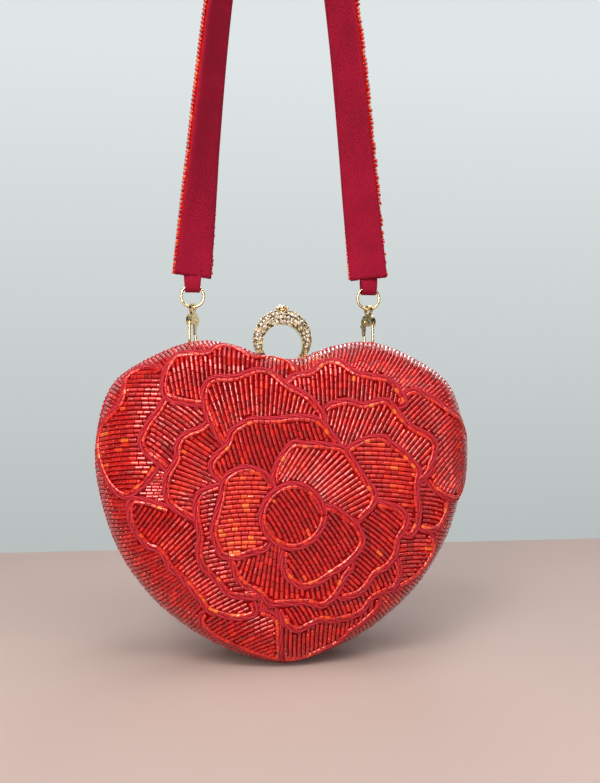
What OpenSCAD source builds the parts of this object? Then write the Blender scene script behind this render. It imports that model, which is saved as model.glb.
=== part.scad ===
// Heart shaped evening purse: a hinged box in two padded halves, a finger ring clasp in the
// dip of the heart, and a strap that hangs from two hooks at the tops of the lobes.
// Modelled with the tip of the heart at z = 0 and the seam between the halves at y = 0, then
// moved so that the origin is the inside of the strap's arch, where the purse is hung.

/* [Bag] */
// Width of the heart across its lobes
heart_w = 188; // [170:1:210]
// Height from the tip to the tops of the lobes
heart_h = 162; // [146:1:180]
// Depth of the closed purse, front to back
bag_depth = 66; // [56:1:76]
// Thickness of the beaded, padded cover
cover_t = 2.5; // [1.5:0.1:3.5]
// Thickness of the moulded shell under the cover
shell_t = 1.8; // [1.2:0.1:2.5]
// Thickness of the satin lining
lining_t = 0.6; // [0.4:0.1:1]

/* [Frame] */
// Thickness of the metal of both rims
frame_t = 1.2; // [0.8:0.1:1.6]
// Gap between the two rims when the purse is shut
seam_gap = 0.3; // [0.2:0.1:0.6]
// How far each rim stands in from the edge of its cover
rim_lip = 0.5; // [0.3:0.1:0.9]
// Depth of the rim's inner wall, from the seam
rim_wall_d = 5; // [3.5:0.5:7]

/* [Hinge] */
// Length of the hinge at the tip
hinge_l = 26; // [18:1:34]
// Outer radius of the hinge's knuckles
knuckle_r = 1.8; // [1.5:0.1:2]
// Radius of the hinge pin
hinge_pin_r = 0.9; // [0.6:0.1:1.1]
// Number of knuckles
knuckles = 5; // [3:2:7]

/* [Clasp and finger ring] */
// Inner diameter of the finger ring
finger_d = 21; // [18:0.5:24]
// Outer diameter of the finger ring
ring_d = 30.2; // [27:0.5:34]
// Width of the ring at its top, front to back
ring_top_w = 6.6; // [5:0.2:8]
// Width of the ring at its foot, front to back
ring_foot_w = 4; // [3:0.2:5]
// Diameter of the small stones
stone_d = 1.7; // [1.3:0.1:1.9]
// Diameter of the large stone at the top of the ring
centre_stone_d = 7; // [5:0.5:9]
// Width of the clasp's lever
lever_w = 9.8; // [8:0.2:12]

/* [Strap] */
// Width of the strap
strap_w = 20; // [16:1:24]
// Thickness of the strap, velvet and beads together
strap_t = 4; // [3:0.2:5]
// Height of the hanging strap's arch above its ends
strap_rise = 234; // [200:1:260]
// Thickness of the velvet backing
velvet_t = 1.6; // [1:0.1:2]
// Width of the tab at each end of the strap
tab_w = 8.4; // [6:0.2:9]
// Thickness of the folded tab
tab_t = 0.9; // [0.6:0.1:1.2]

/* [Hooks and rings] */
// Outer diameter of the rings in the strap's tabs
strap_ring_d = 13; // [11:0.5:16]
// Thickness of the strap rings' wire
strap_wire = 1.4; // [1.1:0.1:1.7]
// Outer diameter of the small rings on the rim
frame_ring_d = 6.1; // [5.6:0.1:7]
// Thickness of the small rings' wire
frame_wire = 1.3; // [1:0.1:1.4]
// Thickness of the hooks' round claw
claw_wire = 1.5; // [1.2:0.1:1.6]
// Turn of each hook about the vertical, away from edge on
hook_yaw = 30; // [0:1:35]

/* [Hidden] */
$fn = 48;

// One overrun serves all cuts, and one thin gap all glued and sewn layers
over = 1;
glue = 0.1;
// Room around a wire or a pin that swings freely, and a pin's running clearance
swing = 0.3;
running = 0.05;

// Right half of the heart's outline, from the tip up to the dip, as shares of the half width
// and of the height
outline_shares = [[0, 0], [0.255, 0.037], [0.5, 0.114], [0.723, 0.228], [0.894, 0.383],
    [0.99, 0.58], [0.985, 0.74], [0.904, 0.87], [0.713, 0.948], [0.489, 0.997],
    [0.287, 0.988], [0.096, 0.948], [0, 0.944]];
outline_steps = 2;
// Height of the point that the puffed sides grow from, as a share of the height
centre_share = 0.543;
// Section of a puffed half, rim to middle: distance out as a share of the outline's, and
// distance from the seam as a share of half the depth
puff_shares = [[0.95, 0.045], [0.985, 0.14], [1, 0.3], [0.985, 0.5], [0.94, 0.68],
    [0.86, 0.82], [0.72, 0.92], [0.5, 0.975], [0.24, 0.995]];
// Ring of the section where the lining starts, clear of the rim's wall
lining_ring = 1;

half_depth = bag_depth / 2;
centre_z = heart_h * centre_share;
rim_share = puff_shares[0][0];

// Middle of a curve's span between two points, with the points on either side
function spline(a, b, c, d, t) =
    (2 * b + (c - a) * t + (2 * a - 5 * b + 4 * c - d) * t * t
    + (3 * b - a - 3 * c + d) * t * t * t) / 2;
function flip(p) = [-p[0], p[1]];
last_point = len(outline_shares) - 1;
function outline_at(i) = i < 0 ? flip(outline_shares[-i])
    : i > last_point ? flip(outline_shares[2 * last_point - i]) : outline_shares[i];
right_shares = [for (i = [0 : last_point - 1], k = [0 : outline_steps - 1])
    spline(outline_at(i - 1), outline_at(i), outline_at(i + 1), outline_at(i + 2),
        k / outline_steps)];
heart_shares = concat(right_shares, [outline_shares[last_point]],
    [for (i = [len(right_shares) - 1 : -1 : 1]) flip(right_shares[i])]);
// The heart's outline about its centre, as steps across and up
heart = [for (s = heart_shares) [s[0] * heart_w / 2, s[1] * heart_h - centre_z]];

// The outline at a share of its size, drawn in by a length
function drawn(p, share, inset) = p * (share - inset / norm(p));
function outline(share, inset) = [for (p = heart) drawn(p, share, inset) + [0, centre_z]];

// Mean distance from the centre to the outline, for the slope of the puffed section
mean_r = (heart_w / 2 + heart_h / 2) / 2;
last_puff = len(puff_shares) - 1;
function puff(j) = let (s = j > last_puff ? [0, 1] : puff_shares[j])
    [s[0] * mean_r, s[1] * half_depth];
function puff_normal(j) = j == 0 ? [1, 0]
    : let (d = puff(j + 1) - puff(j - 1)) [d[1], -d[0]] / norm(d);

// One ring of a puffed surface, drawn in from the outside by a length
function puff_ring(j, inset) = let (s = puff_shares[j], n = puff_normal(j))
    [for (p = heart) let (q = drawn(p, s[0], inset * n[0]))
        [q[0], s[1] * half_depth - inset * n[1], q[1] + centre_z]];
function puff_apex(inset) = [0, half_depth - inset, centre_z];

// A closed skin over a list of loops with as many points each, with a point at each end; its
// squares are cut from corner to corner one way, or the other way if it leans
module skin(loops, first, last, lean = false) {
    n = len(loops[0]);
    m = len(loops);
    points = concat([first], [for (l = loops) for (p = l) p], [last]);
    polyhedron(points, concat(
        [for (k = [0 : n - 1]) [0, 1 + (k + 1) % n, 1 + k]],
        [for (i = [0 : m - 2], k = [0 : n - 1]) let (a = 1 + i * n, b = (k + 1) % n)
            each lean ? [[a + k, a + b, a + n + k], [a + b, a + n + b, a + n + k]]
                : [[a + k, a + b, a + n + b], [a + k, a + n + b, a + n + k]]],
        [for (k = [0 : n - 1]) [m * n + 1, 1 + (m - 1) * n + k, 1 + (m - 1) * n + (k + 1) % n]]),
        convexity = 6);
}

// A puffed layer from one depth under the surface to another, starting at a ring of the section
module puffed(start, outer, inner)
    skin(concat([for (j = [last_puff : -1 : start]) puff_ring(j, inner)],
        [for (j = [start : last_puff]) puff_ring(j, outer)]), puff_apex(inner), puff_apex(outer));

// Depths of the layers under the cover's surface
shell_in = cover_t + glue;
lining_in = shell_in + shell_t + glue;
frame_in = lining_in + lining_t + glue;

// The strap, its hooks and the small rings hang in one plane behind the seam, over the lugs
lug_r = 1.9;
lug_t = 1.2;
lug_bore_r = frame_wire / 2 + swing;
hang_y = seam_gap / 2 + lug_r;
lug_x = heart_w * 0.247;
lug_share = 0.997;
lobe_z = centre_z + (lug_share * heart_h - centre_z) * rim_share - rim_lip;
lug_z = lobe_z + swing;

frame_ring_r = (frame_ring_d - frame_wire) / 2;
frame_ring_z = lug_z + frame_ring_r;
frame_ring_top = frame_ring_z + frame_ring_r;

// The claw passes through the small ring, under its top wire
claw_r = claw_wire / 2;
claw_low_z = frame_ring_top - frame_wire / 2 - swing * 2 / 3 - claw_r;
bow_r = 3.3;
bow_z = claw_low_z + bow_r;
spine_l = 9.5;
tip_l = 1.9;
shoulder_z = bow_z + spine_l;
shoulder_r = 4;
shoulder_t = 3.2;
eye_rise = 6.4;
eye_z = shoulder_z + eye_rise;
eye_r = 2.7;
eye_bore_r = 1.7;
eye_t = 1.4;
neck_w = 3;
slot_t = 2.2;
trigger_t = 1.1;
trigger_v = -0.95;
hook_spring_wire = 0.2;
hook_spring_turns = 3;
hook_spring_room = 0.8;
trigger_w = 1.3;
trigger_root_r = 1.5;
rivet_r = 0.5;
rivet_head_r = 1;
rivet_head_t = 0.35;
rivet_u = 2;
thumb_r = 0.9;
thumb_u = 4.6;
thumb_drop = 2;
trigger_tip_gap = 0.3;

strap_ring_r = (strap_ring_d - strap_wire) / 2;
strap_ring_low = eye_z + 0.5;
strap_ring_z = strap_ring_low + strap_ring_r;
strap_ring_top = strap_ring_z + strap_ring_r;

// The tab's loop goes under the ring's top wire, which falls away on either side of the middle
tab_drop = strap_ring_r - sqrt(strap_ring_r * strap_ring_r - tab_w * tab_w / 4);
tab_room = 1.6;
tab_low_z = strap_ring_top - tab_drop - strap_wire / 2 - swing;
tab_inner_top = strap_ring_top + strap_wire / 2 + swing;
tab_joint_z = strap_ring_top - tab_drop / 2;
strap_end_z = tab_inner_top + 3.4;
tab_top_z = strap_end_z - 0.5;

// Run of the strap's middle line on one side: half gap and height above its end, as shares of
// the gap at the end and of the arch's rise
strap_run_shares = [[1, 0], [0.776, 0.444], [0.647, 1], [0, 1]];
// Turn of the velvet side, from facing forward at the ends to facing down in the arch
strap_turn = [8, 27, 40, 48, 54, 62, 70, 80, 90];
strap_turn_shares = [0, 0.1, 0.2, 0.35, 0.5, 0.62, 0.75, 0.88, 1];
strap_steps = 28;
strap_top_z = strap_end_z + strap_rise;
hang_z = strap_top_z - strap_t / 2;

function run_at(t) = let (u = 1 - t, s = strap_run_shares)
    u * u * u * s[0] + 3 * u * u * t * s[1] + 3 * u * t * t * s[2] + t * t * t * s[3];
function strap_at(t) = let (p = run_at(t)) [p[0] * lug_x, strap_end_z + p[1] * strap_rise];
strap_slope_step = 0.001;
function strap_along(t) = let (d = strap_at(min(1, t + strap_slope_step))
    - strap_at(max(0, t - strap_slope_step))) d / norm(d);

// The puffed halves are made behind the seam, and the front is their mirror image
module hung() translate([0, -hang_y, -hang_z]) children();
module front_side() mirror([0, 1, 0]) children();
module side(way) translate([way * lug_x, hang_y, 0]) children();

// The clasp stands on a flat seat at the bottom of the dip
seat_w = 16;
seat_d = 4.1;
seat_z = centre_z + (outline_shares[last_point][1] * heart_h - centre_z) * rim_share;
seat_deep = cover_t + shell_t + 3 * glue;
front_seat_w = 8;
front_seat_d = 2.4;
notch_w = seat_w + 2;
notch_z = seat_z - seat_deep - glue;
notch_d = seat_d + 0.4;
bracket_t = 0.5;
ear_t = 1.2;
ear_r = 1.1;
clasp_pin_r = 0.6;
clasp_pin_z = seat_z + 1.9;
clasp_pin_y = 2.6;
lever_low = seat_z + bracket_t + 0.7;
lever_top = seat_z + 3.2;
lever_front = -3;
lever_back = clasp_pin_y + ear_r;
nose_t = 0.8;
nose_gap = 0.2;
catch_w = 6;
catch_t = 0.9;
spring_room = 3.2;
ring_seat_t = 0.25;

// Rim of one half: a flange at the seam and a wall that the lining ends at
module rim_ring(outer, inner) difference() {
    polygon(outline(rim_share, outer));
    polygon(outline(rim_share, inner));
}
module flat_at(y, depth) translate([0, y + depth, 0]) rotate([90, 0, 0])
    linear_extrude(depth) children();
module rim() {
    flat_at(seam_gap / 2, frame_t) rim_ring(rim_lip, frame_in + frame_t);
    flat_at(seam_gap / 2, rim_wall_d) rim_ring(frame_in, frame_in + frame_t);
}

hinge_z = centre_z * (1 - rim_share) + rim_lip - knuckle_r - swing;
knuckle_gap = 0.3;
knuckle_l = hinge_l / knuckles;
leaf_top_z = hinge_z + knuckle_r * 3;
module knuckle(i) {
    x = -hinge_l / 2 + i * knuckle_l + knuckle_gap / 2;
    l = knuckle_l - knuckle_gap;
    translate([x, 0, hinge_z]) rotate([0, 90, 0]) cylinder(r = knuckle_r, h = l);
    translate([x, seam_gap / 2, hinge_z]) cube([l, frame_t, leaf_top_z - hinge_z]);
}
module hinge_bore() translate([-hinge_l / 2 - over, 0, hinge_z]) rotate([0, 90, 0])
    cylinder(r = hinge_pin_r + running, h = hinge_l + 2 * over);
module leaf_room(first) for (i = [first : 2 : knuckles - 1])
    translate([-hinge_l / 2 + i * knuckle_l, 0, hinge_z]) rotate([0, 90, 0])
        cylinder(r = knuckle_r + swing, h = knuckle_l);

module lug(way) translate([way * lug_x - lug_t / 2, 0, 0]) {
    translate([0, hang_y, lug_z]) rotate([0, 90, 0]) cylinder(r = lug_r, h = lug_t);
    translate([0, seam_gap / 2, lug_z - lug_r * 2]) cube([lug_t, lug_r * 2, lug_r * 2]);
}
module lug_bore(way) translate([way * lug_x - lug_t / 2 - over, hang_y, lug_z])
    rotate([0, 90, 0]) cylinder(r = lug_bore_r, h = lug_t + 2 * over);

module back_frame() hung() color("gold") difference() {
    union() {
        rim();
        for (i = [0 : 2 : knuckles - 1]) knuckle(i);
        for (way = [-1, 1]) lug(way);
        translate([-seat_w / 2, seam_gap / 2, seat_z - seat_deep]) cube([seat_w, seat_d, seat_deep]);
    }
    hinge_bore();
    leaf_room(1);
    for (way = [-1, 1]) lug_bore(way);
}
module front_frame() hung() color("gold") difference() {
    union() {
        front_side() rim();
        for (i = [1 : 2 : knuckles - 1]) front_side() knuckle(i);
        front_side() translate([-front_seat_w / 2, seam_gap / 2, seat_z - seat_deep])
            cube([front_seat_w, front_seat_d, seat_deep]);
    }
    hinge_bore();
    leaf_room(0);
}

// Room that the padded layers leave around the clasp and the lugs
module clasp_notch() translate([-notch_w / 2, -over, notch_z]) cube([notch_w, notch_d + over, heart_h]);
lug_notch_w = frame_ring_d + 4 * swing;
lug_notch_z = lug_z - lug_r * 2 - swing;
lug_notch_d = hang_y + lug_r + 5 * swing;
module lug_notches() for (way = [-1, 1])
    translate([way * lug_x - lug_notch_w / 2, -over, lug_notch_z])
        cube([lug_notch_w, lug_notch_d + over, heart_h]);

module half_cover() puffed(0, 0, cover_t);
module half_shell() puffed(0, shell_in, shell_in + shell_t);
module half_lining() puffed(lining_ring, lining_in, lining_in + lining_t);

module back_cover() hung() color("crimson") difference() {
    half_cover();
    clasp_notch();
    lug_notches();
}
module back_shell() hung() color("dimgray") difference() {
    half_shell();
    clasp_notch();
    lug_notches();
}
module back_lining() hung() color("firebrick") difference() {
    half_lining();
    lug_notches();
}
module front_cover() hung() color("crimson") front_side() difference() {
    half_cover();
    clasp_notch();
}
module front_shell() hung() color("dimgray") front_side() difference() {
    half_shell();
    clasp_notch();
}
module front_lining() hung() color("firebrick") front_side() half_lining();

pin_head_t = 0.5;
module hinge_pin() hung() color("gold") translate([-hinge_l / 2 - pin_head_t, 0, hinge_z])
    rotate([0, 90, 0]) {
        cylinder(r = hinge_pin_r, h = hinge_l + 2 * pin_head_t);
        for (z = [0, hinge_l + pin_head_t]) translate([0, 0, z])
            cylinder(r = hinge_pin_r * 1.4, h = pin_head_t);
    }

// Clasp: a bracket with two ears, a pin, a coiled spring and a lever with a nose in front
ear_x = lever_w / 2 + swing;
module across(x, y, z, l) translate([x, y, z]) rotate([0, 90, 0]) linear_extrude(l) children();
module clasp_bracket() hung() color("gold") difference() {
    union() {
        translate([-ear_x - ear_t, seam_gap / 2 + swing, seat_z])
            cube([2 * (ear_x + ear_t), seat_d - swing - seam_gap / 2, bracket_t]);
        for (x = [-ear_x - ear_t, ear_x]) {
            across(x, clasp_pin_y, clasp_pin_z, ear_t) circle(ear_r);
            translate([x, clasp_pin_y - ear_r, seat_z])
                cube([ear_t, 2 * ear_r, clasp_pin_z - seat_z]);
        }
    }
    across(-ear_x - ear_t - over, clasp_pin_y, clasp_pin_z, 2 * (ear_x + ear_t + over))
        circle(clasp_pin_r + running);
}
module clasp_pin() hung() color("goldenrod")
    across(-ear_x - ear_t, clasp_pin_y, clasp_pin_z, 2 * (ear_x + ear_t)) circle(clasp_pin_r);
module clasp_lever() hung() color("gold") difference() {
    union() {
        translate([-lever_w / 2, lever_front, lever_low])
            cube([lever_w, clasp_pin_y - lever_front, lever_top - lever_low]);
        across(-lever_w / 2, clasp_pin_y, clasp_pin_z, lever_w) circle(ear_r - running);
        translate([-catch_w / 2, lever_front, seat_z + nose_gap])
            cube([catch_w, nose_t, lever_low - seat_z]);
    }
    across(-lever_w / 2 - over, clasp_pin_y, clasp_pin_z, lever_w + 2 * over)
        circle(clasp_pin_r + running);
    translate([lever_w / 2 - spring_room, clasp_pin_y - ear_r - swing, lever_low - over])
        cube([spring_room + over, 2 * ear_r + 2 * swing, lever_top - lever_low - ring_seat_t + over]);
}
// A wire coiled about the Z axis, up from z = 0
coil_steps = 10;
coil_sides = 6;
module coil(radius, wire, turns, length) {
    n = turns * coil_steps;
    rise = (length - wire) / n;
    function at(i) = let (a = 360 * i / coil_steps)
        [radius * cos(a), radius * sin(a), wire / 2 + rise * i];
    loops = [for (i = [0 : n]) let (a = 360 * i / coil_steps, p = at(i))
        [for (k = [0 : coil_sides - 1]) let (b = 360 * k / coil_sides)
            p + wire / 2 * [cos(b) * cos(a), cos(b) * sin(a), sin(b)]]];
    skin(loops, at(0), at(n));
}
spring_wire = 0.2;
spring_turns = 4;
spring_r = clasp_pin_r + running + spring_wire;
module clasp_spring() hung() color("silver")
    translate([lever_w / 2 - spring_room + swing, clasp_pin_y, clasp_pin_z]) rotate([0, 90, 0])
        coil(spring_r, spring_wire, spring_turns, spring_room - 2 * swing);
module catch_stud() hung() color("gold")
    translate([-catch_w / 2, lever_front + nose_t + swing, seat_z])
        cube([catch_w, -lever_front - nose_t - swing - seam_gap, catch_t]);

// Finger ring: two circles that are nearer at the foot than at the top, cut flat on the lever
ring_r = ring_d / 2;
finger_r = finger_d / 2;
ring_foot_z = lever_top;
foot_t = 1.1;
ring_rise = 11.4;
ring_z = ring_foot_z + ring_rise;
finger_drop = 2.8;
ring_top_z = ring_z + ring_r;
seat_deep_stone = 0.5;
setting_sink = 0.6;
setting_h = 1.6;
setting_r = centre_stone_d / 2;
setting_wall = 0.4;
setting_foot_r = setting_r - 2 * setting_wall;
setting_floor = 0.6;
module ring_profile() {
    difference() {
        translate([0, ring_z]) circle(ring_r);
        translate([0, ring_z - finger_drop]) circle(finger_r);
        translate([-ring_r - over, 0]) square([2 * (ring_r + over), ring_foot_z]);
    }
    intersection() {
        translate([0, ring_z]) circle(ring_r);
        translate([-ring_r, ring_foot_z]) square([2 * ring_r, foot_t]);
    }
}
// The band narrows towards its foot
module ring_sides() translate([-ring_r - over, 0, 0]) rotate([90, 0, 90])
    linear_extrude(2 * (ring_r + over))
        polygon([[-ring_foot_w / 2, ring_foot_z], [ring_foot_w / 2, ring_foot_z],
            [ring_top_w / 2, ring_top_z + over], [-ring_top_w / 2, ring_top_z + over]]);
function band_w(z) = ring_foot_w + (ring_top_w - ring_foot_w) * (z - ring_foot_z)
    / (ring_top_z + over - ring_foot_z);
// Places of the stones: angle from the top of the ring, and distance from its middle plane
stone_gap = 0.35;
stone_step = 360 * (stone_d + stone_gap) / (PI * ring_d);
three_rows_to = 62;
two_rows_to = 118;
first_stone = asin((setting_r + stone_d / 2 + glue) / ring_r);
stone_places = [for (way = [-1, 1], a = [first_stone : stone_step : two_rows_to])
    let (z = ring_z + ring_r * cos(a), rows = a < three_rows_to ? [-1, 0, 1] : [-0.5, 0.5])
        for (r = rows) [way * a, r * (stone_d + (band_w(z) - 3 * stone_d) / 4)]];
module at_stone(p) translate([0, p[1], ring_z]) rotate([0, p[0], 0])
    translate([0, 0, ring_r]) children();
// Rows of stones on the front face, as many as the band has room for: angle from the top of
// the ring, and distance from its centre
face_rows = 3;
stone_edge = 0.75;
hole_edge = 0.3;
face_stones_to = 116;
function face_row_r(k) = ring_r - stone_edge - stone_d / 2 - k * (stone_d + stone_gap);
function hole_r(a) = sqrt(finger_r * finger_r - pow(finger_drop * sin(a), 2))
    - finger_drop * cos(a);
face_places = [for (k = [0 : face_rows - 1])
    let (r = face_row_r(k), step = 180 * (stone_d + stone_gap) / (PI * r))
        for (way = [-1, 1], a = [step / 2 : step : face_stones_to])
            if (r - stone_d / 2 - hole_edge > hole_r(a)) [way * a, r]];
module at_face_stone(p) {
    z = ring_z + p[1] * cos(p[0]);
    translate([p[1] * sin(p[0]), -band_w(z) / 2, z]) rotate([90, 0, 0]) children();
}
module stone_seat() translate([0, 0, -seat_deep_stone])
    cylinder(r = stone_d / 2 + running, h = seat_deep_stone + over);
module finger_ring() hung() color("gold") difference() {
    intersection() {
        flat_at(-ring_top_w, 2 * ring_top_w) ring_profile();
        ring_sides();
    }
    for (p = stone_places) at_stone(p) stone_seat();
    for (p = face_places) at_face_stone(p) stone_seat();
    translate([0, 0, ring_top_z - setting_sink])
        cylinder(r1 = setting_foot_r + running, r2 = setting_r + running, h = setting_h);
}
stone_crown = 0.35;
table_share = 0.6;
module stone() translate([0, 0, -seat_deep_stone]) {
    cylinder(r = stone_d / 2, h = seat_deep_stone, $fn = 8);
    translate([0, 0, seat_deep_stone])
        cylinder(r1 = stone_d / 2, r2 = table_share * stone_d / 2, h = stone_crown);
}
module ring_stones() hung() color("ivory") {
    for (p = stone_places) at_stone(p) stone();
    for (p = face_places) at_face_stone(p) stone();
}
// A cup with four prongs that stand up past the stone's girdle
prong_r = 0.35;
prong_h = 1.4;
module ring_centre_setting() hung() color("gold") translate([0, 0, ring_top_z - setting_sink]) {
    difference() {
        cylinder(r1 = setting_foot_r, r2 = setting_r, h = setting_h);
        translate([0, 0, setting_floor]) cylinder(r1 = setting_foot_r - setting_wall,
            r2 = setting_r - setting_wall, h = setting_h - setting_floor + glue);
    }
    for (turn = [45 : 90 : 315]) rotate([0, 0, turn])
        translate([setting_r - setting_wall + prong_r, 0, setting_h + setting_wall - prong_h / 2])
            cylinder(r = prong_r, h = prong_h);
}
stone_table = 0.62;
centre_crown = 1.9;
module ring_centre_stone() hung() color("white")
    translate([0, 0, ring_top_z - setting_sink + setting_floor + glue]) {
        pavilion = setting_h - setting_floor - glue;
        girdle_r = setting_r - setting_wall - glue;
        cylinder(r1 = setting_foot_r - setting_wall - glue, r2 = girdle_r, h = pavilion);
        translate([0, 0, pavilion])
            cylinder(r1 = girdle_r, r2 = girdle_r * stone_table, h = centre_crown);
    }

// Small rings on the lugs and the rings in the tabs, both facing forward
module wire_ring(radius, wire) rotate([90, 0, 0]) rotate_extrude() translate([radius, 0])
    circle(wire / 2);
module frame_ring(way) side(way) translate([0, 0, frame_ring_z])
    wire_ring(frame_ring_r, frame_wire);
module strap_ring(way) side(way) translate([0, 0, strap_ring_z])
    wire_ring(strap_ring_r, strap_wire);
module frame_ring_left() hung() color("gold") frame_ring(-1);
module frame_ring_right() hung() color("gold") frame_ring(1);
module strap_ring_left() hung() color("gold") strap_ring(-1);
module strap_ring_right() hung() color("gold") strap_ring(1);

// A hook's own plane is upright, edge on to the viewer but for its yaw; u runs across it
module hook_plane(way) side(way) rotate([0, 0, way * hook_yaw]) rotate([90, 0, 90]) children();
module hook_plate(t) translate([0, 0, -t / 2]) linear_extrude(t) children();
module hook_body(way) hook_plane(way) difference() {
    union() {
        translate([0, bow_z, 0]) rotate([0, 0, 180]) rotate_extrude(angle = 180)
            translate([bow_r, 0]) circle(claw_r);
        translate([-bow_r, bow_z, 0]) rotate([-90, 0, 0]) cylinder(r = claw_r, h = spine_l);
        translate([bow_r, bow_z, 0]) rotate([-90, 0, 0]) cylinder(r = claw_r, h = tip_l);
        hook_plate(shoulder_t) intersection() {
            translate([0, shoulder_z]) circle(shoulder_r);
            translate([-shoulder_r, shoulder_z - rivet_u]) square(2 * shoulder_r);
        }
        hook_plate(eye_t) union() {
            translate([0, eye_z]) circle(eye_r);
            translate([-neck_w / 2, shoulder_z]) square([neck_w, eye_rise]);
        }
    }
    translate([0, eye_z, -shoulder_t]) cylinder(r = eye_bore_r, h = 2 * shoulder_t);
    translate([rivet_u - trigger_root_r - swing, shoulder_z - shoulder_r, -slot_t / 2])
        cube([shoulder_r + over, shoulder_r + trigger_root_r + swing, slot_t]);
    translate([rivet_u, shoulder_z, -shoulder_t])
        cylinder(r = rivet_r + running, h = 2 * shoulder_t);
}
trigger_low_z = bow_z + tip_l + trigger_tip_gap;
module trigger(way) hook_plane(way) difference() {
    translate([0, 0, trigger_v]) linear_extrude(trigger_t) union() {
        translate([rivet_u, shoulder_z]) circle(trigger_root_r);
        polygon([[rivet_u, shoulder_z], [bow_r - trigger_w / 2, trigger_low_z],
            [bow_r + trigger_w / 2, trigger_low_z], [thumb_u, shoulder_z - thumb_drop],
            [rivet_u + trigger_root_r, shoulder_z]]);
        translate([thumb_u, shoulder_z - thumb_drop]) circle(thumb_r);
    }
    translate([rivet_u, shoulder_z, -trigger_t]) cylinder(r = rivet_r + running, h = 2 * trigger_t);
}
module rivet(way) hook_plane(way) translate([rivet_u, shoulder_z, 0]) {
    translate([0, 0, -shoulder_t / 2 - rivet_head_t])
        cylinder(r = rivet_r, h = shoulder_t + 2 * rivet_head_t);
    for (z = [-shoulder_t / 2 - rivet_head_t, shoulder_t / 2]) translate([0, 0, z])
        cylinder(r = rivet_head_r, h = rivet_head_t);
}
module hook_spring(way) hook_plane(way)
    translate([rivet_u, shoulder_z, trigger_v + trigger_t + glue])
        coil(rivet_r + running + hook_spring_wire, hook_spring_wire, hook_spring_turns,
            hook_spring_room);
module hook_body_left() hung() color("gold") hook_body(-1);
module hook_body_right() hung() color("gold") hook_body(1);
module hook_trigger_left() hung() color("gold") trigger(-1);
module hook_trigger_right() hung() color("gold") trigger(1);
module hook_rivet_left() hung() color("goldenrod") rivet(-1);
module hook_rivet_right() hung() color("goldenrod") rivet(1);
module hook_spring_left() hung() color("silver") hook_spring(-1);
module hook_spring_right() hung() color("silver") hook_spring(1);

// Tab at each end of the strap: a strip folded under the ring's top wire
module tab_section(grow) {
    low = tab_low_z + tab_room;
    translate([0, low]) circle(tab_room + grow);
    translate([-tab_room - grow, low]) square([2 * (tab_room + grow), tab_inner_top - low]);
}
module tab(way) side(way) translate([-tab_w / 2, 0, 0]) rotate([90, 0, 90])
    linear_extrude(tab_w) {
        difference() {
            tab_section(tab_t);
            tab_section(0);
        }
        translate([-tab_room - tab_t, tab_inner_top])
            square([2 * (tab_room + tab_t), tab_top_z - tab_inner_top]);
    }
module strap_tab_left() hung() color("crimson") tab(-1);
module strap_tab_right() hung() color("crimson") tab(1);

// A layer of the strap between two distances from its middle, on the velvet side if positive
function strap_frame(way, t) = let (p = strap_at(t), d = strap_along(t),
    b = lookup(t, [for (i = [0 : len(strap_turn) - 1]) [strap_turn_shares[i], strap_turn[i]]]),
    inward = [-way * d[1], 0, d[0]])
    [[way * p[0], hang_y, p[1]], sin(b) * inward + [0, -cos(b), 0],
        cos(b) * inward + [0, sin(b), 0]];
function strap_ring_of(way, t, low, high, w) = let (f = strap_frame(way, t))
    [for (c = [[-w / 2, low], [w / 2, low], [w / 2, high], [-w / 2, high]])
        f[0] + f[2] * c[0] + f[1] * c[1]];
module strap_layer(low, high, w, lean) {
    left = [for (i = [0 : strap_steps]) strap_ring_of(-1, i / strap_steps, low, high, w)];
    right = [for (i = [strap_steps - 1 : -1 : 0]) strap_ring_of(1, i / strap_steps, low, high, w)];
    loops = concat(left, right);
    function middle(l) = (l[0] + l[1] + l[2] + l[3]) / 4;
    skin(loops, middle(loops[0]), middle(loops[len(loops) - 1]), lean);
}
velvet_w = strap_w - 1.2;
module strap_backing() hung() color("darkred")
    strap_layer(strap_t / 2 - velvet_t, strap_t / 2, velvet_w, false);
module strap_bead_band() hung() color("crimson")
    strap_layer(-strap_t / 2, strap_t / 2 - velvet_t - glue, strap_w, true);

strap_backing();
strap_bead_band();
strap_tab_left();
strap_tab_right();
strap_ring_left();
strap_ring_right();
hook_body_left();
hook_body_right();
hook_trigger_left();
hook_trigger_right();
hook_rivet_left();
hook_rivet_right();
hook_spring_left();
hook_spring_right();
frame_ring_left();
frame_ring_right();
back_frame();
back_shell();
back_cover();
back_lining();
front_frame();
front_shell();
front_cover();
front_lining();
hinge_pin();
clasp_bracket();
clasp_pin();
clasp_spring();
clasp_lever();
finger_ring();
ring_stones();
ring_centre_setting();
ring_centre_stone();
catch_stud();
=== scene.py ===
import bmesh
import bpy
import math
import random
import numpy as np
from mathutils import Matrix, Vector


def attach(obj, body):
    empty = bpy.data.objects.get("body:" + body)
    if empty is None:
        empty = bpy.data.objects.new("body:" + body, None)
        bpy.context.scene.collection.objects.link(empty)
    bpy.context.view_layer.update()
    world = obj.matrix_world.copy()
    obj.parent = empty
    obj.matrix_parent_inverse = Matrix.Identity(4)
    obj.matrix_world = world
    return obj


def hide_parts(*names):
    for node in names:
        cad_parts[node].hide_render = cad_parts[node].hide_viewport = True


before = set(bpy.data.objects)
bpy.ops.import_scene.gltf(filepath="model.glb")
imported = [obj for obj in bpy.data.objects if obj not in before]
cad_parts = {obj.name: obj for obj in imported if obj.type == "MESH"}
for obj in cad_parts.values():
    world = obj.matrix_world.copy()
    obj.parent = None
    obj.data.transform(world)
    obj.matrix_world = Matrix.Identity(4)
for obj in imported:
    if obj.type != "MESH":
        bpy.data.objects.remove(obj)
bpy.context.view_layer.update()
mm = 0.001

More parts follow.
